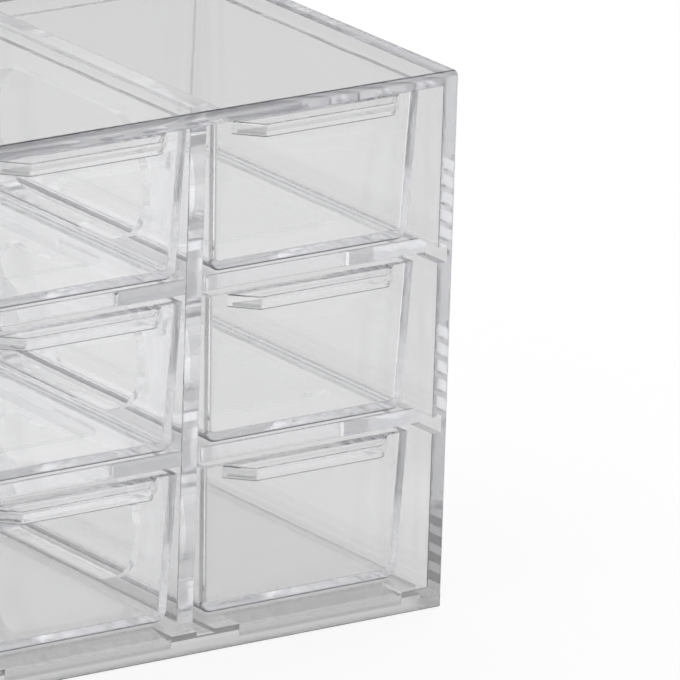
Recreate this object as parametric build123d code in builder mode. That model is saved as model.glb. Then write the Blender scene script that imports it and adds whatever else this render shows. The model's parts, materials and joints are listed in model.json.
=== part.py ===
"""Clear desktop box with nine pull-out drawers, in millimetres.

The origin is at the middle of the footprint, on the surface that the box stands on.
X runs along the front to the right, Y to the rear and Z up.
"""
from build123d import *
import math
import os

os.makedirs("parts", exist_ok=True)

# Casing
CASING_WIDTH = 190.0
CASING_DEPTH = 100.0
CASING_HEIGHT = 125.0
SIDE_WALL = 3.9
TOP_WALL = 3.0
REAR_WALL = 3.0
BASE_HEIGHT = 5.2
BASE_FLOOR = 2.4
FOOT_RIM = 4.0
TOP_FRONT_EDGE = 1.3
OUTER_EDGE = 0.4
OPENING_EDGE = 0.2
COLUMNS = 3
ROWS = 3

# Shelves and dividers
SHELF_THICKNESS = 3.6
DIVIDER_THICKNESS = 4.4
TOP_ROW_EXTRA = 1.3
FRONT_SETBACK = 8.0
PLATE_EDGE = 0.3
SHELF_GROOVE = 2.4
DIVIDER_GROOVE = 1.0
FIT_CLEARANCE = 0.1
LAP_FROM_FRONT = 44.0

# Windows in the dividers, measured from the plate's front edge and from the shelf below
SIDE_WINDOW_RADIUS = 13.4
SIDE_WINDOW_FRONT = 17.2
SIDE_WINDOW_SILL = 1.8
SIDE_WINDOW_REAR = 8.0

# Windows in the shelves, measured from the plate's edges and from the dividers
SHELF_WINDOW_MARGIN = 9.4
SHELF_WINDOW_FRONT = 18.5
SHELF_WINDOW_REAR = 8.0
SHELF_WINDOW_CORNER = 3.0

# Finger scoops in the base
SCOOP_WIDTH = 44.0
SCOOP_FALL = 1.4
SCOOP_NOSE = 1.6

# Drawers
DRAWER_TOP_GAP = 1.4
DRAWER_LIFT = 0.3
DRAWER_SIDE_GAP = 0.95
DRAWER_REAR_GAP = 2.0
DRAWER_WALL = 1.6
DRAWER_FLOOR = 1.8
FACE_RECESS = 7.6
SIDE_DRAFT = 2.4
FACE_DRAFT = 1.5
LOWER_CORNER = 2.8
DRAWER_EDGE = 0.8
INNER_EDGE = 0.6

# Lip handles
LIP_REACH = 5.6
LIP_WIDTH = 45.0
LIP_END_SLANT = 5.2
LIP_THICKNESS = 2.0
LIP_APRON = 3.0
LIP_APRON_THICKNESS = 1.2
LIP_CORNER = 1.8
LIP_EDGE = 0.4

# Places worked out from the sizes above
FRONT_Y = -CASING_DEPTH / 2
REAR_INNER_Y = CASING_DEPTH / 2 - REAR_WALL
CEILING_Z = CASING_HEIGHT - TOP_WALL
INNER_WIDTH = CASING_WIDTH - 2 * SIDE_WALL
CELL_WIDTH = (INNER_WIDTH - (COLUMNS - 1) * DIVIDER_THICKNESS) / COLUMNS
COLUMN_PITCH = CELL_WIDTH + DIVIDER_THICKNESS
ROWS_HEIGHT = CEILING_Z - BASE_HEIGHT - (ROWS - 1) * SHELF_THICKNESS
ROW_CLEARANCE = (ROWS_HEIGHT - TOP_ROW_EXTRA) / ROWS
ROW_PITCH = ROW_CLEARANCE + SHELF_THICKNESS
PLATE_FRONT_Y = FRONT_Y + FRONT_SETBACK
PLATE_REAR_Y = REAR_INNER_Y - FIT_CLEARANCE
LAP_Y = PLATE_FRONT_Y + LAP_FROM_FRONT
SHELF_LAP_Y = LAP_Y + FIT_CLEARANCE
DRAWER_HEIGHT = ROW_CLEARANCE - DRAWER_LIFT - DRAWER_TOP_GAP
RIM_WIDTH = CELL_WIDTH - 2 * DRAWER_SIDE_GAP
FACE_Y = FRONT_Y + FACE_RECESS
DRAWER_REAR_Y = REAR_INNER_Y - DRAWER_REAR_GAP

COLUMN_NAMES = ("left", "middle", "right")
ROW_NAMES = ("bottom", "middle", "top")
SHELF_NAMES = ("shelf_lower", "shelf_upper")
DIVIDER_NAMES = ("divider_left", "divider_right")


def column_centre(column: int) -> float:
    """X of the middle of a column, counted from the left."""
    return (column - (COLUMNS - 1) / 2) * COLUMN_PITCH


def divider_centre(number: int) -> float:
    """X of the middle of a divider, counted from the left."""
    return column_centre(number) + COLUMN_PITCH / 2


def row_floor(row: int) -> float:
    """Z of the surface that the drawers of a row stand on, counted from the bottom."""
    return BASE_HEIGHT + row * ROW_PITCH


def front_plane(y: float) -> Plane:
    """Upright plane at one depth, facing the front, with X to the right and Z up."""
    return Plane.XZ.offset(-y)


# Casing: a block hollowed from the front and from below
with BuildPart() as casing:
    with BuildSketch(Plane.XY):
        Rectangle(CASING_WIDTH, CASING_DEPTH)
    extrude(amount=CASING_HEIGHT)
    fillet(casing.edges().filter_by(Axis.X).group_by(Axis.Y)[0].sort_by(Axis.Z)[-1], TOP_FRONT_EDGE)
    sides = casing.faces().sort_by(Axis.X)
    level_edges = casing.edges().filter_by(Axis.X)
    foot_edges = level_edges.group_by(Axis.Z)[0]
    rear_edge = level_edges.group_by(Axis.Y)[-1].sort_by(Axis.Z)[-1]
    fillet(sides[0].edges() + sides[-1].edges() + foot_edges + [rear_edge], OUTER_EDGE)

    # Room for the drawers, its front edge rounded
    with BuildSketch(front_plane(FRONT_Y)):
        with Locations((0, BASE_HEIGHT)):
            Rectangle(INNER_WIDTH, CEILING_Z - BASE_HEIGHT, align=(Align.CENTER, Align.MIN))
    extrude(amount=-(REAR_INNER_Y - FRONT_Y), mode=Mode.SUBTRACT)
    fillet(casing.faces().sort_by(Axis.Y)[0].inner_wires()[0].edges(), OPENING_EDGE)

    # Shelf grooves in the sides, and divider grooves above and below
    with BuildSketch(front_plane(FRONT_Y)):
        for row in range(1, ROWS):
            with Locations((0, row_floor(row) - SHELF_THICKNESS - FIT_CLEARANCE)):
                Rectangle(
                    INNER_WIDTH + 2 * SHELF_GROOVE,
                    SHELF_THICKNESS + 2 * FIT_CLEARANCE,
                    align=(Align.CENTER, Align.MIN),
                )
        for number in range(COLUMNS - 1):
            with Locations((divider_centre(number), BASE_HEIGHT - DIVIDER_GROOVE)):
                Rectangle(
                    DIVIDER_THICKNESS + 2 * FIT_CLEARANCE,
                    CEILING_Z - BASE_HEIGHT + 2 * DIVIDER_GROOVE,
                    align=(Align.CENTER, Align.MIN),
                )
    extrude(amount=-(REAR_INNER_Y - FRONT_Y), mode=Mode.SUBTRACT)

    # Hollow underside, so that the box stands on its foot rim
    with BuildSketch(Plane.XY):
        Rectangle(CASING_WIDTH - 2 * FOOT_RIM, CASING_DEPTH - 2 * FOOT_RIM)
    extrude(amount=BASE_HEIGHT - BASE_FLOOR, mode=Mode.SUBTRACT)

    # Finger scoops, which fall towards the front edge and round over it
    for column in range(COLUMNS):
        side = Plane.YZ.offset(column_centre(column) - SCOOP_WIDTH / 2)
        with BuildSketch(side):
            with BuildLine():
                slope = Line(
                    (PLATE_FRONT_Y, BASE_HEIGHT),
                    (FRONT_Y + SCOOP_NOSE, BASE_HEIGHT - SCOOP_FALL),
                )
                nose = TangentArc(
                    slope @ 1,
                    (FRONT_Y, BASE_HEIGHT - SCOOP_FALL - SCOOP_NOSE),
                    tangent=slope % 1,
                )
                Polyline(
                    nose @ 1,
                    (FRONT_Y - SCOOP_NOSE, BASE_HEIGHT - SCOOP_FALL - SCOOP_NOSE),
                    (FRONT_Y - SCOOP_NOSE, BASE_HEIGHT + SCOOP_FALL),
                    (PLATE_FRONT_Y, BASE_HEIGHT + SCOOP_FALL),
                    slope @ 0,
                )
            make_face()
        extrude(amount=SCOOP_WIDTH, mode=Mode.SUBTRACT)
casing.part.label = "casing"
export_step(casing.part, "parts/casing.step")


# Shelves: plates with a window under each drawer, slotted from the front for the dividers
SHELF_WIDTH = INNER_WIDTH + 2 * (SHELF_GROOVE - FIT_CLEARANCE)
SHELF_WINDOW_WIDTH = CELL_WIDTH - 2 * SHELF_WINDOW_MARGIN
SHELF_WINDOW_LENGTH = PLATE_REAR_Y - SHELF_WINDOW_REAR - PLATE_FRONT_Y - SHELF_WINDOW_FRONT

for number, name in enumerate(SHELF_NAMES):
    with BuildPart() as shelf:
        with BuildSketch(Plane.XY.offset(row_floor(number + 1) - SHELF_THICKNESS)):
            with Locations((0, PLATE_FRONT_Y)):
                Rectangle(SHELF_WIDTH, PLATE_REAR_Y - PLATE_FRONT_Y, align=(Align.CENTER, Align.MIN))
            for column in range(COLUMNS):
                with Locations((
                    column_centre(column),
                    PLATE_FRONT_Y + SHELF_WINDOW_FRONT + SHELF_WINDOW_LENGTH / 2,
                )):
                    RectangleRounded(
                        SHELF_WINDOW_WIDTH,
                        SHELF_WINDOW_LENGTH,
                        SHELF_WINDOW_CORNER,
                        mode=Mode.SUBTRACT,
                    )
            for slot in range(COLUMNS - 1):
                with Locations((divider_centre(slot), PLATE_FRONT_Y)):
                    Rectangle(
                        DIVIDER_THICKNESS + 2 * FIT_CLEARANCE,
                        SHELF_LAP_Y - PLATE_FRONT_Y,
                        align=(Align.CENTER, Align.MIN),
                        mode=Mode.SUBTRACT,
                    )
        extrude(amount=SHELF_THICKNESS)
        fillet(shelf.edges().filter_by(Axis.X).group_by(Axis.Y)[0], PLATE_EDGE)
    shelf.part.label = name
    export_step(shelf.part, f"parts/{name}.step")


# Dividers: upright plates with a window in each row, slotted from the rear for the shelves
DIVIDER_FOOT_Z = BASE_HEIGHT - DIVIDER_GROOVE + FIT_CLEARANCE
DIVIDER_HEAD_Z = CEILING_Z + DIVIDER_GROOVE - FIT_CLEARANCE
SIDE_WINDOW_FRONT_Y = PLATE_FRONT_Y + SIDE_WINDOW_FRONT
SIDE_WINDOW_REAR_Y = PLATE_REAR_Y - SIDE_WINDOW_REAR
SIDE_WINDOW_LENGTH = SIDE_WINDOW_REAR_Y - SIDE_WINDOW_FRONT_Y

for number, name in enumerate(DIVIDER_NAMES):
    with BuildPart() as divider:
        with BuildSketch(Plane.YZ.offset(divider_centre(number) - DIVIDER_THICKNESS / 2)):
            with Locations((PLATE_FRONT_Y, DIVIDER_FOOT_Z)):
                Rectangle(
                    PLATE_REAR_Y - PLATE_FRONT_Y,
                    DIVIDER_HEAD_Z - DIVIDER_FOOT_Z,
                    align=(Align.MIN, Align.MIN),
                )
            for row in range(ROWS):
                with Locations((
                    SIDE_WINDOW_FRONT_Y + SIDE_WINDOW_LENGTH / 2,
                    row_floor(row) + SIDE_WINDOW_SILL + SIDE_WINDOW_RADIUS,
                )):
                    SlotOverall(SIDE_WINDOW_LENGTH, 2 * SIDE_WINDOW_RADIUS, mode=Mode.SUBTRACT)
            for row in range(1, ROWS):
                with Locations((PLATE_REAR_Y, row_floor(row) + FIT_CLEARANCE)):
                    Rectangle(
                        PLATE_REAR_Y - LAP_Y,
                        SHELF_THICKNESS + 2 * FIT_CLEARANCE,
                        align=(Align.MAX, Align.MAX),
                        mode=Mode.SUBTRACT,
                    )
        extrude(amount=DIVIDER_THICKNESS)
        fillet(divider.edges().filter_by(Axis.Z).group_by(Axis.Y)[0], PLATE_EDGE)
    divider.part.label = name
    export_step(divider.part, f"parts/{name}.step")


# Drawers: drafted trays with a lip handle flush with the rim
SIDE_SLOPE = math.tan(math.radians(SIDE_DRAFT))


def tray_block(
    column: int, row: int, inset: float, floor: float, height: float, edge: float
) -> Part:
    """Drafted block with rounded edges, as a drawer's outside or, with an inset, as its hollow.

    The inset is measured inwards from the drawer's outer faces, and floor and height from its
    underside. The edge is the radius around its front and rear.
    """
    middle_x = column_centre(column)
    rim_z = row_floor(row) + DRAWER_LIFT + DRAWER_HEIGHT
    low_z = row_floor(row) + DRAWER_LIFT + floor
    high_z = row_floor(row) + DRAWER_LIFT + height
    half_low = RIM_WIDTH / 2 - (rim_z - low_z) * SIDE_SLOPE - inset
    half_high = RIM_WIDTH / 2 - (rim_z - high_z) * SIDE_SLOPE - inset
    face = Plane((middle_x, FACE_Y, rim_z), x_dir=(1, 0, 0), z_dir=(0, -1, 0))
    rear = Plane((middle_x, DRAWER_REAR_Y, rim_z), x_dir=(1, 0, 0), z_dir=(0, 1, 0))
    with BuildPart() as block:
        with BuildSketch(front_plane(FACE_Y)) as outline:
            with BuildLine():
                Polyline(
                    (middle_x - half_high, high_z),
                    (middle_x - half_low, low_z),
                    (middle_x + half_low, low_z),
                    (middle_x + half_high, high_z),
                    close=True,
                )
            make_face()
            fillet(outline.vertices().group_by(Axis.Y)[0], LOWER_CORNER - inset)
        extrude(amount=-(DRAWER_REAR_Y - FACE_Y))
        split(bisect_by=face.rotated((FACE_DRAFT, 0, 0)).offset(-inset), keep=Keep.BOTTOM)
        split(bisect_by=rear.rotated((-FACE_DRAFT, 0, 0)).offset(-inset), keep=Keep.BOTTOM)
        for end in (0, -1):
            end_face = block.faces().filter_by(Axis.Z, reverse=True).sort_by(Axis.Y)[end]
            fillet(end_face.edges().sort_by(Axis.Z)[:-1], edge)
    return block.part


def lip_handle(column: int, row: int) -> Part:
    """Lip handle of a drawer: a plate with a down-turned front edge, its end in the drawer's wall."""
    middle_x = column_centre(column)
    rim_z = row_floor(row) + DRAWER_LIFT + DRAWER_HEIGHT
    outline = [
        (middle_x - LIP_WIDTH / 2, FACE_Y + DRAWER_WALL / 2),
        (middle_x - LIP_WIDTH / 2, FACE_Y),
        (middle_x - LIP_WIDTH / 2 + LIP_END_SLANT, FACE_Y - LIP_REACH),
        (middle_x + LIP_WIDTH / 2 - LIP_END_SLANT, FACE_Y - LIP_REACH),
        (middle_x + LIP_WIDTH / 2, FACE_Y),
        (middle_x + LIP_WIDTH / 2, FACE_Y + DRAWER_WALL / 2),
    ]
    with BuildPart() as lip:
        with BuildSketch(Plane.XY.offset(rim_z)) as plate:
            with BuildLine():
                Polyline(*outline, close=True)
            make_face()
            fillet(plate.vertices().group_by(Axis.Y)[0], LIP_CORNER)
        extrude(amount=-LIP_THICKNESS)
        with BuildSketch(Plane.XY.offset(rim_z)):
            with BuildLine() as apron:
                Polyline(*outline)
                fillet(apron.vertices().group_by(Axis.Y)[0], LIP_CORNER)
                offset(amount=LIP_APRON_THICKNESS, side=Side.LEFT)
            make_face()
        extrude(amount=-LIP_APRON)
        for level in (0, -1):
            level_edges = lip.edges().group_by(Axis.Z)[level]
            fillet(level_edges.filter_by(lambda edge: edge.center().Y < FACE_Y), LIP_EDGE)
    return lip.part


for column in range(COLUMNS):
    for row in range(ROWS):
        with BuildPart() as drawer:
            add(tray_block(column, row, 0, 0, DRAWER_HEIGHT, DRAWER_EDGE))
            hollow_height = DRAWER_HEIGHT + DRAWER_WALL
            add(
                tray_block(column, row, DRAWER_WALL, DRAWER_FLOOR, hollow_height, INNER_EDGE),
                mode=Mode.SUBTRACT,
            )
            add(lip_handle(column, row))
        name = f"drawer_{ROW_NAMES[row]}_{COLUMN_NAMES[column]}"
        drawer.part.label = name
        export_step(drawer.part, f"parts/{name}.step")
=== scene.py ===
"""Clear nine-drawer desktop box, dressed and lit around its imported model.

Every size is in metres, in the model's own frame: X to the right along the front, Y to the rear
and Z up from the surface that the box stands on.
"""

import json
import logging
import math
from dataclasses import dataclass
from enum import Enum

import bmesh
import bpy
from mathutils import Matrix, Vector


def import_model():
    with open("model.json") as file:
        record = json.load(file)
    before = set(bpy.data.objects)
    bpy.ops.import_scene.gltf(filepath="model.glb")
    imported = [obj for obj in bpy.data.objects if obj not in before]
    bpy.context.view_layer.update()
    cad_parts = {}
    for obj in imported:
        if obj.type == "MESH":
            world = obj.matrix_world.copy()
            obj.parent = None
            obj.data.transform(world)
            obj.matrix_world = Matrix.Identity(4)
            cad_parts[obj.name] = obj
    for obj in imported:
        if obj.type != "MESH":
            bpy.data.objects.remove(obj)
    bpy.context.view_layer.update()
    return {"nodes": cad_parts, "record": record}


LOG = logging.getLogger("drawer_box")
# Kinds of sockets that the node groups have.
NUMBER = "NodeSocketFloat"
VECTOR = "NodeSocketVector"
# Where a mix node keeps the sockets that it uses for colours.
COLOUR_A, COLOUR_B, COLOUR_RESULT = 6, 7, 2


class Part(Enum):
    """The kinds of moulding in the box, named as in the record's material slots."""

    CASING = "clear_casing"
    PLATE = "clear_plate"
    DRAWER = "clear_drawer"


def calculation(nodes: bpy.types.Nodes, operation: str) -> bpy.types.Node:
    """Adds a node that calculates with numbers.

    Args:
        nodes: Nodes of the tree that it joins.
        operation: What it does.

    Returns:
        The new node.
    """
    node = nodes.new("ShaderNodeMath")
    node.operation = operation
    return node


def spread(
    nodes: bpy.types.Nodes, start: tuple[float, float], end: tuple[float, float] = (0.0, 1.0)
) -> bpy.types.Node:
    """Adds a node that spreads one range of numbers over another.

    Args:
        nodes: Nodes of the tree that it joins.
        start: The range that comes in.
        end: The range that goes out.

    Returns:
        The new node.
    """
    node = nodes.new("ShaderNodeMapRange")
    node.inputs["From Min"].default_value = start[0]
    node.inputs["From Max"].default_value = start[1]
    node.inputs["To Min"].default_value = end[0]
    node.inputs["To Max"].default_value = end[1]
    return node


def placed(
    nodes: bpy.types.Nodes, tree: bpy.types.NodeTree, values: dict[str, float]
) -> bpy.types.Node:
    """Places a node group.

    Args:
        nodes: Nodes of the tree that it joins.
        tree: The node group.
        values: Its inputs by name.

    Returns:
        The new node.
    """
    node = nodes.new("ShaderNodeGroup")
    node.node_tree = tree
    for name, value in values.items():
        node.inputs[name].default_value = value
    return node


class SharedTree:
    """A node group that is built once and shared by all that use it.

    Attributes:
        NAME: Name of the group.
        INPUTS: Name and type of each input.
        OUTPUT: Name and type of its output.
    """

    NAME: str
    INPUTS: tuple[tuple[str, str], ...]
    OUTPUT: tuple[str, str]

    @classmethod
    def tree(cls) -> bpy.types.NodeTree:
        """Builds the group when it is first asked for.

        Returns:
            The node group.
        """
        if cls.NAME not in bpy.data.node_groups:
            group = bpy.data.node_groups.new(cls.NAME, "ShaderNodeTree")
            for name, kind in cls.INPUTS:
                group.interface.new_socket(name, in_out="INPUT", socket_type=kind)
            name, kind = cls.OUTPUT
            group.interface.new_socket(name, in_out="OUTPUT", socket_type=kind)
            cls.fill(group.nodes, group.links)
        return bpy.data.node_groups[cls.NAME]

    @classmethod
    def fill(cls, nodes: bpy.types.Nodes, links: bpy.types.NodeLinks) -> None:
        """Fills the group.

        Args:
            nodes: Nodes of the group.
            links: Links of the group.
        """
        raise NotImplementedError


class MouldingRipple(SharedTree):
    """The slow unevenness of a moulded clear surface, as a height."""

    NAME = "moulding_ripple"
    INPUTS = (("Size", NUMBER), ("Fine", NUMBER))
    OUTPUT = ("Height", NUMBER)
    BROAD_DETAIL = 1.0
    GRAIN_SIZE = 900.0
    GRAIN_DETAIL = 2.0

    @classmethod
    def fill(cls, nodes: bpy.types.Nodes, links: bpy.types.NodeLinks) -> None:
        """Adds broad waves and a share of fine grain.

        Args:
            nodes: Nodes of the group.
            links: Links of the group.
        """
        entry = nodes.new("NodeGroupInput")
        leave = nodes.new("NodeGroupOutput")
        place = nodes.new("ShaderNodeTexCoord")
        broad = nodes.new("ShaderNodeTexNoise")
        broad.inputs["Detail"].default_value = cls.BROAD_DETAIL
        grain = nodes.new("ShaderNodeTexNoise")
        grain.inputs["Scale"].default_value = cls.GRAIN_SIZE
        grain.inputs["Detail"].default_value = cls.GRAIN_DETAIL
        weigh = calculation(nodes, "MULTIPLY")
        total = calculation(nodes, "ADD")
        links.new(place.outputs["Object"], broad.inputs["Vector"])
        links.new(place.outputs["Object"], grain.inputs["Vector"])
        links.new(entry.outputs["Size"], broad.inputs["Scale"])
        links.new(grain.outputs["Fac"], weigh.inputs[0])
        links.new(entry.outputs["Fine"], weigh.inputs[1])
        links.new(broad.outputs["Fac"], total.inputs[0])
        links.new(weigh.outputs["Value"], total.inputs[1])
        links.new(total.outputs["Value"], leave.inputs["Height"])


class HandlingMarks(SharedTree):
    """The faint rubs and fine scratches that clear plastic picks up, from 0 to 1."""

    NAME = "handling_marks"
    INPUTS = (("Amount", NUMBER),)
    OUTPUT = ("Rubs", NUMBER)
    HAIR_TURN = (0.3, 0.5, 0.8)
    HAIR_STRETCH = (14.0, 240.0, 60.0)
    HAIR_SIZE = 3.0
    HAIR_EDGE = (0.62, 0.72)
    PATCH_SIZE = 22.0
    PATCH_EDGE = (0.45, 0.75)
    DETAIL = 3.0

    @classmethod
    def fill(cls, nodes: bpy.types.Nodes, links: bpy.types.NodeLinks) -> None:
        """Adds fine hairs that show only in some patches.

        Args:
            nodes: Nodes of the group.
            links: Links of the group.
        """
        entry = nodes.new("NodeGroupInput")
        leave = nodes.new("NodeGroupOutput")
        place = nodes.new("ShaderNodeTexCoord")
        turn = nodes.new("ShaderNodeMapping")
        turn.inputs["Rotation"].default_value = cls.HAIR_TURN
        turn.inputs["Scale"].default_value = cls.HAIR_STRETCH
        hairs = nodes.new("ShaderNodeTexNoise")
        hairs.inputs["Scale"].default_value = cls.HAIR_SIZE
        hairs.inputs["Detail"].default_value = cls.DETAIL
        thin = spread(nodes, cls.HAIR_EDGE)
        patches = nodes.new("ShaderNodeTexNoise")
        patches.inputs["Scale"].default_value = cls.PATCH_SIZE
        patches.inputs["Detail"].default_value = cls.DETAIL
        soft = spread(nodes, cls.PATCH_EDGE)
        both = calculation(nodes, "MULTIPLY")
        scaled = calculation(nodes, "MULTIPLY")
        links.new(place.outputs["Object"], turn.inputs["Vector"])
        links.new(turn.outputs["Vector"], hairs.inputs["Vector"])
        links.new(hairs.outputs["Fac"], thin.inputs["Value"])
        links.new(place.outputs["Object"], patches.inputs["Vector"])
        links.new(patches.outputs["Fac"], soft.inputs["Value"])
        links.new(thin.outputs["Result"], both.inputs[0])
        links.new(soft.outputs["Result"], both.inputs[1])
        links.new(both.outputs["Value"], scaled.inputs[0])
        links.new(entry.outputs["Amount"], scaled.inputs[1])
        links.new(scaled.outputs["Value"], leave.inputs["Rubs"])


class PaintedEdgeShade(SharedTree):
    """Painted shade on the rounded edges of a moulding, standing in for the light that they bend
    away, from 0 to 1.

    Its inputs are the strength of the painted shade on an upright edge and how much more a
    downward-facing one gets. A face is flat where the largest part of its direction along an axis
    is at least FLAT, and fully rounded where it is at most ROUND.
    """

    NAME = "painted_edge_shade"
    INPUTS = (("Upright", NUMBER), ("Downward", NUMBER))
    OUTPUT = ("Edge", NUMBER)
    FLAT = 0.992
    ROUND = 0.93

    @classmethod
    def fill(cls, nodes: bpy.types.Nodes, links: bpy.types.NodeLinks) -> None:
        """Finds the faces that lie along no axis, and gives them more painted shade the further
        down they face.

        Args:
            nodes: Nodes of the group.
            links: Links of the group.
        """
        entry = nodes.new("NodeGroupInput")
        leave = nodes.new("NodeGroupOutput")
        surface = nodes.new("ShaderNodeNewGeometry")
        sizes = nodes.new("ShaderNodeVectorMath")
        sizes.operation = "ABSOLUTE"
        split = nodes.new("ShaderNodeSeparateXYZ")
        level = calculation(nodes, "MAXIMUM")
        most = calculation(nodes, "MAXIMUM")
        rounded = spread(nodes, (cls.FLAT, cls.ROUND))
        rounded.interpolation_type = "SMOOTHSTEP"
        facing = nodes.new("ShaderNodeSeparateXYZ")
        below = calculation(nodes, "MULTIPLY")
        strength = calculation(nodes, "SUBTRACT")
        strength.use_clamp = True
        edge = calculation(nodes, "MULTIPLY")
        links.new(surface.outputs["True Normal"], sizes.inputs[0])
        links.new(sizes.outputs["Vector"], split.inputs[0])
        links.new(split.outputs["X"], level.inputs[0])
        links.new(split.outputs["Y"], level.inputs[1])
        links.new(level.outputs["Value"], most.inputs[0])
        links.new(split.outputs["Z"], most.inputs[1])
        links.new(most.outputs["Value"], rounded.inputs["Value"])
        # Downward-facing edges get more painted shade and upward-facing ones less.
        links.new(surface.outputs["True Normal"], facing.inputs[0])
        links.new(facing.outputs["Z"], below.inputs[0])
        links.new(entry.outputs["Downward"], below.inputs[1])
        links.new(entry.outputs["Upright"], strength.inputs[0])
        links.new(below.outputs["Value"], strength.inputs[1])
        links.new(rounded.outputs["Result"], edge.inputs[0])
        links.new(strength.outputs["Value"], edge.inputs[1])
        links.new(edge.outputs["Value"], leave.inputs["Edge"])


@dataclass(frozen=True)
class ClearPlastic:
    """A polished clear styrene, grey where the light goes a long way through it.

    Attributes:
        part: Which kind of moulding it is for, and with that the material's name.
        ripple_size: Scale of the slow unevenness.
        rubbed: Roughness where the surface is rubbed.
        marks: Amount of rubs.
        painted_edge_colour: Colour of the painted shade at a fully dark edge.
        upright_shade: Strength of the painted shade on the upright edges, from 0 to 1.
        downward_shade: How much more painted shade the downward-facing edges get.
        matt_height: Middle of the heights at which the moulding's underside is matt.
        matt_reach: How far those heights reach from there.
        matt: Roughness of that underside.
        tint: Colour of the surface for light that passes it.
        clarity: Share of the light that isn't scattered at the surface.
        bend: Index of refraction.
        depth_tint: Colour that long paths inside the plastic turn to.
        density: How fast they turn, per metre.
        ripple: Height of the unevenness.
        fine: Share of fine grain in it.
        gloss: Roughness of the clean surface.
    """

    part: Part
    ripple_size: float
    rubbed: float
    marks: float
    painted_edge_colour: tuple[float, float, float]
    upright_shade: float
    downward_shade: float
    matt_height: float = -1.0
    matt_reach: float = 0.0
    matt: float = 0.6
    tint: tuple[float, float, float] = (0.996, 0.9965, 0.9975)
    clarity: float = 0.997
    bend: float = 1.45
    depth_tint: tuple[float, float, float] = (0.60, 0.61, 0.68)
    density: float = 4.0
    ripple: float = 0.00012
    fine: float = 0.02
    gloss: float = 0.01

    def material(self) -> bpy.types.Material:
        """Builds the finish as a material.

        Returns:
            The new material.
        """
        material = bpy.data.materials.new(self.part.value)
        material.use_nodes = True
        nodes, links = material.node_tree.nodes, material.node_tree.links
        nodes.clear()
        leave = nodes.new("ShaderNodeOutputMaterial")
        shader = nodes.new("ShaderNodeBsdfPrincipled")
        shader.inputs["Transmission Weight"].default_value = self.clarity
        shader.inputs["IOR"].default_value = self.bend
        links.new(shader.outputs["BSDF"], leave.inputs["Surface"])
        inside = nodes.new("ShaderNodeVolumeAbsorption")
        inside.inputs["Color"].default_value = (*self.depth_tint, 1.0)
        inside.inputs["Density"].default_value = self.density
        links.new(inside.outputs["Volume"], leave.inputs["Volume"])
        links.new(self.unevenness(nodes, links), shader.inputs["Normal"])
        links.new(self.roughness(nodes, links), shader.inputs["Roughness"])
        links.new(self.colour(nodes, links), shader.inputs["Base Color"])
        return material

    def unevenness(
        self, nodes: bpy.types.Nodes, links: bpy.types.NodeLinks
    ) -> bpy.types.NodeSocket:
        """Adds the slow ripple.

        Args:
            nodes: Nodes of the material.
            links: Links of the material.

        Returns:
            The rippled surface's direction.
        """
        sizes = {"Size": self.ripple_size, "Fine": self.fine}
        ripple = placed(nodes, MouldingRipple.tree(), sizes)
        bump = nodes.new("ShaderNodeBump")
        bump.inputs["Distance"].default_value = self.ripple
        links.new(ripple.outputs["Height"], bump.inputs["Height"])
        return bump.outputs["Normal"]

    def roughness(
        self, nodes: bpy.types.Nodes, links: bpy.types.NodeLinks
    ) -> bpy.types.NodeSocket:
        """Adds the rubs and the matt underside.

        Args:
            nodes: Nodes of the material.
            links: Links of the material.

        Returns:
            Roughness.
        """
        marks = placed(nodes, HandlingMarks.tree(), {"Amount": self.marks})
        rough = spread(nodes, (0.0, 1.0), (self.gloss, self.rubbed))
        place = nodes.new("ShaderNodeTexCoord")
        split = nodes.new("ShaderNodeSeparateXYZ")
        under = calculation(nodes, "COMPARE")
        under.inputs[1].default_value = self.matt_height
        under.inputs[2].default_value = self.matt_reach
        either = nodes.new("ShaderNodeMix")
        either.inputs["B"].default_value = self.matt
        links.new(marks.outputs["Rubs"], rough.inputs["Value"])
        links.new(place.outputs["Object"], split.inputs[0])
        links.new(split.outputs["Z"], under.inputs[0])
        links.new(under.outputs["Value"], either.inputs["Factor"])
        links.new(rough.outputs["Result"], either.inputs["A"])
        return either.outputs["Result"]

    def colour(
        self, nodes: bpy.types.Nodes, links: bpy.types.NodeLinks
    ) -> bpy.types.NodeSocket:
        """Adds the painted shade on the edges.

        Args:
            nodes: Nodes of the material.
            links: Links of the material.

        Returns:
            Colour of the surface, with the painted edge shade.
        """
        darkness = {"Upright": self.upright_shade, "Downward": self.downward_shade}
        edges = placed(nodes, PaintedEdgeShade.tree(), darkness)
        # Painted shade: the surface colour goes towards the dark edge colour on rounded edges,
        # more on downward-facing ones.
        shade = nodes.new("ShaderNodeMix")
        shade.data_type = "RGBA"
        shade.inputs[COLOUR_A].default_value = (*self.tint, 1.0)
        shade.inputs[COLOUR_B].default_value = (*self.painted_edge_colour, 1.0)
        links.new(edges.outputs["Edge"], shade.inputs["Factor"])
        return shade.outputs[COLOUR_RESULT]


# Each finish's dark edge colour and edge strengths set the painted shade on the rounded edges of
# its moulding.
FINISHES: tuple[ClearPlastic, ...] = (
    ClearPlastic(
        part=Part.CASING,
        ripple_size=30.0,
        rubbed=0.12,
        marks=0.6,
        painted_edge_colour=(0.05, 0.05, 0.06),
        upright_shade=0.8,
        downward_shade=0.8,
        matt_height=0.0017,
        matt_reach=0.0013,
    ),
    ClearPlastic(
        part=Part.PLATE,
        ripple_size=36.0,
        rubbed=0.1,
        marks=0.4,
        painted_edge_colour=(0.15, 0.15, 0.17),
        upright_shade=0.3,
        downward_shade=0.4,
    ),
    ClearPlastic(
        part=Part.DRAWER,
        ripple_size=42.0,
        rubbed=0.14,
        marks=0.8,
        painted_edge_colour=(0.01, 0.01, 0.015),
        upright_shade=0.4,
        downward_shade=1.0,
    ),
)


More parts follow.
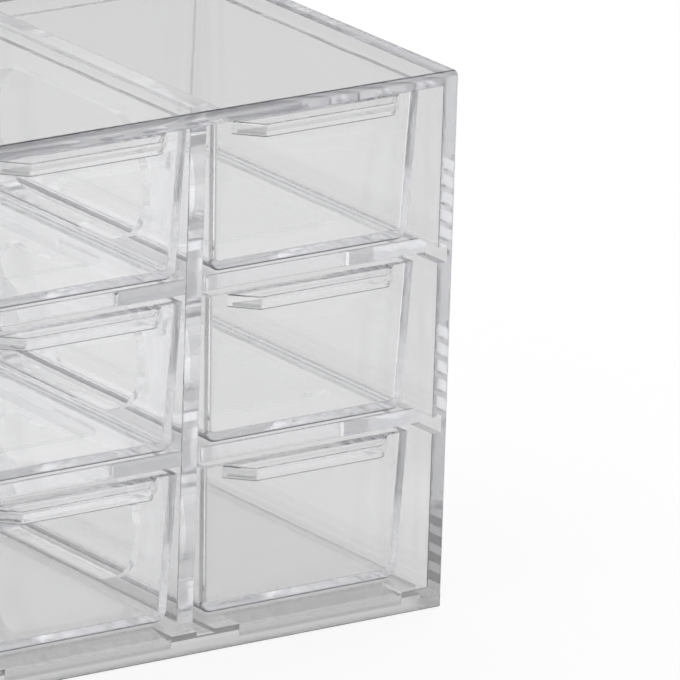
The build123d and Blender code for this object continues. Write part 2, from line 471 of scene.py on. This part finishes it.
@dataclass
class Moulding:
    """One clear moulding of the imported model.

    Attributes:
        node: Name of the node.
        part: Which kind of moulding it is.
    """

    node: str
    part: Part

    def dress(self, piece: bpy.types.Object, materials: dict[Part, bpy.types.Material]) -> None:
        """Gives the node its finish.

        Args:
            piece: The node's object.
            materials: The finish of each kind of moulding.
        """
        material = materials[self.part]
        piece.data.materials.clear()
        piece.data.materials.append(material)
        LOG.info("dressed %s in %s", self.node, material.name)


class Surround(SharedTree):
    """The brightness of the studio in each direction, as clear plastic bends it in.

    Its input is a place or a direction. LEVELS gives the brightness at heights from 0, the
    horizon and the floor, to 1, straight above. STRIPS are the directions of brighter stretches
    near the horizon. On the floor they fade in between the two distances of CLEAR_RADIUS.
    """

    NAME = "studio_surround"
    INPUTS = (("Direction", VECTOR),)
    OUTPUT = ("Brightness", NUMBER)
    LEVELS = (
        (0.00, 0.63),
        (0.40, 0.63),
        (0.43, 1.20),
        (0.49, 1.20),
        (0.54, 0.20),
        (0.86, 0.20),
        (0.92, 1.50),
    )
    BRIGHTEST = 2.0
    STRIPS = ((0.97, -0.24), (-0.85, 0.53), (-0.34, -0.94))
    STRIP_LEVEL = 0.45
    STRIP_EDGE = (0.86, 0.95)
    CLEAR_RADIUS = (0.12, 0.26)

    @classmethod
    def fill(cls, nodes: bpy.types.Nodes, links: bpy.types.NodeLinks) -> None:
        """Adds the levels by height and the strips by direction.

        Args:
            nodes: Nodes of the group.
            links: Links of the group.
        """
        entry = nodes.new("NodeGroupInput")
        leave = nodes.new("NodeGroupOutput")
        unit = nodes.new("ShaderNodeVectorMath")
        unit.operation = "NORMALIZE"
        split = nodes.new("ShaderNodeSeparateXYZ")
        ramp = nodes.new("ShaderNodeValToRGB")
        stops = ramp.color_ramp.elements
        while len(stops) > 1:
            stops.remove(stops[-1])
        for place, brightness in cls.LEVELS:
            stop = stops[0] if place == 0.0 else stops.new(place)
            stop.position = place
            stop.color = (brightness / cls.BRIGHTEST,) * 3 + (1.0,)
        level = calculation(nodes, "MULTIPLY")
        level.inputs[1].default_value = cls.BRIGHTEST
        links.new(entry.outputs["Direction"], unit.inputs[0])
        links.new(unit.outputs["Vector"], split.inputs[0])
        links.new(split.outputs["Z"], ramp.inputs["Fac"])
        links.new(ramp.outputs["Color"], level.inputs[0])

        reach = nodes.new("ShaderNodeVectorMath")
        reach.operation = "LENGTH"
        near = spread(nodes, cls.CLEAR_RADIUS, (0.0, cls.STRIP_LEVEL))
        links.new(entry.outputs["Direction"], reach.inputs[0])
        links.new(reach.outputs["Value"], near.inputs["Value"])
        total = level.outputs["Value"]
        for strip in cls.STRIPS:
            towards = nodes.new("ShaderNodeVectorMath")
            towards.operation = "DOT_PRODUCT"
            towards.inputs[1].default_value = (*strip, 0.0)
            lobe = spread(nodes, cls.STRIP_EDGE)
            lobe.interpolation_type = "SMOOTHSTEP"
            add = calculation(nodes, "MULTIPLY_ADD")
            links.new(unit.outputs["Vector"], towards.inputs[0])
            links.new(towards.outputs["Value"], lobe.inputs["Value"])
            links.new(lobe.outputs["Result"], add.inputs[0])
            links.new(near.outputs["Result"], add.inputs[1])
            links.new(total, add.inputs[2])
            total = add.outputs["Value"]
        links.new(total, leave.inputs["Brightness"])


@dataclass
class Studio:
    """White studio: a floor that goes over into a white surround, which is the only light.

    Light counts as guided when it has turned many times inside the plates.

    Attributes:
        floor_size: Side of the square floor.
        floor_squares: Squares of the floor along a side.
        floor_drop: How far it lies under the box.
        surround: Brightness of the surround for the light that falls on surfaces.
        shadow: Share of the object's shadow that the floor keeps for the eye.
        floor_shadow: Share of the floor's shadow that shows through the plastic.
        guided: Numbers of turns between which light goes over into guided light.
        floor_glow: Brightness of the floor for guided light, to the box's right and to its left.
        backlight: The same of the surround above the floor.
        glow_places: Where along X, of a place or a direction, right goes over into left.
        long_way: Numbers of turns between which light that goes a long way is evened out.
        evened: How much brighter it then is, for what the surfaces took from it.
    """

    floor_size: float = 6.0
    floor_squares: int = 4
    floor_drop: float = 0.0002
    surround: float = 1.0
    shadow: float = 0.15
    floor_shadow: float = 0.15
    guided: tuple[float, float] = (7.0, 15.0)
    floor_glow: tuple[float, float] = (0.7, 1.1)
    backlight: tuple[float, float] = (0.85, 1.25)
    glow_places: tuple[float, float] = (0.12, -0.04)
    long_way: tuple[float, float] = (20.0, 44.0)
    evened: float = 1.5

    def bent_light(
        self, tree: bpy.types.NodeTree, coordinate: str, glow: tuple[float, float]
    ) -> tuple[bpy.types.NodeSocket, bpy.types.NodeSocket]:
        """Adds the nodes for what the plastic shows of the studio.

        Args:
            tree: Node tree of the floor or of the world.
            coordinate: Output of the texture coordinates that gives the place or direction.
            glow: Brightness for guided light, to the box's right and to its left.

        Returns:
            Brightness, and a mask that is 1 for rays that come out of the plastic.
        """
        nodes, links = tree.nodes, tree.links
        place = nodes.new("ShaderNodeTexCoord")
        studio = placed(nodes, Surround.tree(), {})
        ray = nodes.new("ShaderNodeLightPath")
        turns = spread(nodes, self.long_way, (1.0, self.evened))
        guided = spread(nodes, self.guided)
        along = nodes.new("ShaderNodeSeparateXYZ")
        sideways = spread(nodes, self.glow_places, glow)
        level = nodes.new("ShaderNodeMix")
        bright = calculation(nodes, "MULTIPLY")
        clear = calculation(nodes, "MAXIMUM")
        links.new(place.outputs[coordinate], studio.inputs["Direction"])
        links.new(place.outputs[coordinate], along.inputs[0])
        links.new(along.outputs["X"], sideways.inputs["Value"])
        links.new(ray.outputs["Ray Depth"], turns.inputs["Value"])
        links.new(ray.outputs["Ray Depth"], guided.inputs["Value"])
        links.new(guided.outputs["Result"], level.inputs["Factor"])
        links.new(studio.outputs["Brightness"], level.inputs["A"])
        links.new(sideways.outputs["Result"], level.inputs["B"])
        links.new(level.outputs["Result"], bright.inputs[0])
        links.new(turns.outputs["Result"], bright.inputs[1])
        links.new(ray.outputs["Is Transmission Ray"], clear.inputs[0])
        links.new(ray.outputs["Is Glossy Ray"], clear.inputs[1])
        return bright.outputs["Value"], clear.outputs["Value"]

    def floor(self) -> bpy.types.Object:
        """Makes the floor.

        Returns:
            The floor's object.
        """
        mesh = bpy.data.meshes.new("floor")
        form = bmesh.new()
        bmesh.ops.create_grid(
            form,
            x_segments=self.floor_squares,
            y_segments=self.floor_squares,
            size=self.floor_size / 2,
        )
        form.to_mesh(mesh)
        form.free()
        floor = bpy.data.objects.new("floor", mesh)
        floor.location.z = -self.floor_drop
        bpy.context.scene.collection.objects.link(floor)
        mesh.materials.append(self.floor_finish())
        return floor

    def floor_finish(self) -> bpy.types.Material:
        """Builds the white floor's finish, which keeps a share of the shadow.

        Returns:
            The new material.
        """
        material = bpy.data.materials.new("floor_white")
        material.use_nodes = True
        nodes, links = material.node_tree.nodes, material.node_tree.links
        nodes.clear()
        leave = nodes.new("ShaderNodeOutputMaterial")
        matt = nodes.new("ShaderNodeBsdfDiffuse")
        matt.inputs["Color"].default_value = (1.0, 1.0, 1.0, 1.0)
        white = nodes.new("ShaderNodeEmission")
        seen = nodes.new("ShaderNodeMixShader")
        seen.inputs["Fac"].default_value = 1.0 - self.shadow
        through = nodes.new("ShaderNodeEmission")
        share = calculation(nodes, "MULTIPLY")
        share.inputs[1].default_value = 1.0 - self.floor_shadow
        either = nodes.new("ShaderNodeMixShader")
        brightness, clear = self.bent_light(material.node_tree, "Object", self.floor_glow)
        links.new(brightness, through.inputs["Strength"])
        links.new(clear, share.inputs[0])
        links.new(matt.outputs["BSDF"], seen.inputs[1])
        links.new(white.outputs["Emission"], seen.inputs[2])
        links.new(share.outputs["Value"], either.inputs["Fac"])
        links.new(seen.outputs["Shader"], either.inputs[1])
        links.new(through.outputs["Emission"], either.inputs[2])
        links.new(either.outputs["Shader"], leave.inputs["Surface"])
        return material

    def world(self) -> None:
        """Lights the scene from a white surround."""
        world = bpy.data.worlds.new("surround")
        bpy.context.scene.world = world
        world.use_nodes = True
        nodes, links = world.node_tree.nodes, world.node_tree.links
        nodes.clear()
        leave = nodes.new("ShaderNodeOutputWorld")
        back = nodes.new("ShaderNodeBackground")
        back.inputs["Color"].default_value = (1.0, 1.0, 1.0, 1.0)
        shade = nodes.new("ShaderNodeMix")
        shade.inputs["A"].default_value = self.surround
        brightness, clear = self.bent_light(world.node_tree, "Generated", self.backlight)
        links.new(clear, shade.inputs["Factor"])
        links.new(brightness, shade.inputs["B"])
        links.new(shade.outputs["Result"], back.inputs["Strength"])
        links.new(back.outputs["Background"], leave.inputs["Surface"])


@dataclass
class PhotoCamera:
    """The camera of the photograph, found by fitting the box's edges.

    Attributes:
        azimuth: Angle from straight in front towards the box's left, in degrees.
        elevation: Angle above the horizon, in degrees.
        roll: Turn about the line of sight, in degrees.
        distance: From the target to the camera.
        lens: Focal length, in millimetres.
        sensor: Width of the sensor, in millimetres.
        target: Point at the middle of the picture.
        reach: Nearest and furthest distance that it sees.
    """

    azimuth: float = 35.46
    elevation: float = 17.39
    roll: float = 1.81
    distance: float = 2.874
    lens: float = 688.0
    sensor: float = 36.0
    target: tuple[float, float, float] = (0.0651, -0.05, 0.0672)
    reach: tuple[float, float] = (0.05, 100.0)

    def place(self) -> bpy.types.Object:
        """Makes the camera and sets it as the scene's.

        Returns:
            The camera's object.
        """
        azimuth, elevation = math.radians(self.azimuth), math.radians(self.elevation)
        roll = math.radians(self.roll)
        back = Vector((
            -math.sin(azimuth) * math.cos(elevation),
            -math.cos(azimuth) * math.cos(elevation),
            math.sin(elevation),
        ))
        level = Vector((math.cos(azimuth), -math.sin(azimuth), 0.0))
        upright = back.cross(level)
        right = math.cos(roll) * level + math.sin(roll) * upright
        up = math.cos(roll) * upright - math.sin(roll) * level
        data = bpy.data.cameras.new("camera")
        data.lens = self.lens
        data.sensor_width = self.sensor
        data.clip_start, data.clip_end = self.reach
        camera = bpy.data.objects.new("camera", data)
        bpy.context.scene.collection.objects.link(camera)
        turn = Matrix((right, up, back)).transposed().to_4x4()
        camera.matrix_world = Matrix.Translation(Vector(self.target) + back * self.distance) @ turn
        bpy.context.scene.camera = camera
        return camera


@dataclass
class LightPaths:
    """How far light is followed through the many layers of clear plastic.

    Attributes:
        turns: Most turns inside the plastic.
        scattered: Most turns between matt surfaces.
    """

    turns: int = 80
    scattered: int = 4

    def apply(self) -> None:
        """Sets the scene's light paths and its plain view of colour."""
        cycles = bpy.context.scene.cycles
        cycles.max_bounces = self.turns
        cycles.transmission_bounces = self.turns
        cycles.glossy_bounces = self.turns
        cycles.diffuse_bounces = self.scattered
        cycles.caustics_refractive = True
        cycles.caustics_reflective = False
        bpy.context.scene.view_settings.view_transform = "Standard"


def main() -> None:
    """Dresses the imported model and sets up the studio."""
    logging.basicConfig(level=logging.INFO, format="%(name)s: %(message)s")
    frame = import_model()
    slots = {entry["node"]: Part(entry["material_slot"]) for entry in frame["record"]["subparts"]}
    materials = {finish.part: finish.material() for finish in FINISHES}
    for node, piece in frame["nodes"].items():
        Moulding(node, slots[node]).dress(piece, materials)
    studio = Studio()
    studio.floor()
    studio.world()
    PhotoCamera().place()
    LightPaths().apply()


if __name__ == "__main__":
    main()
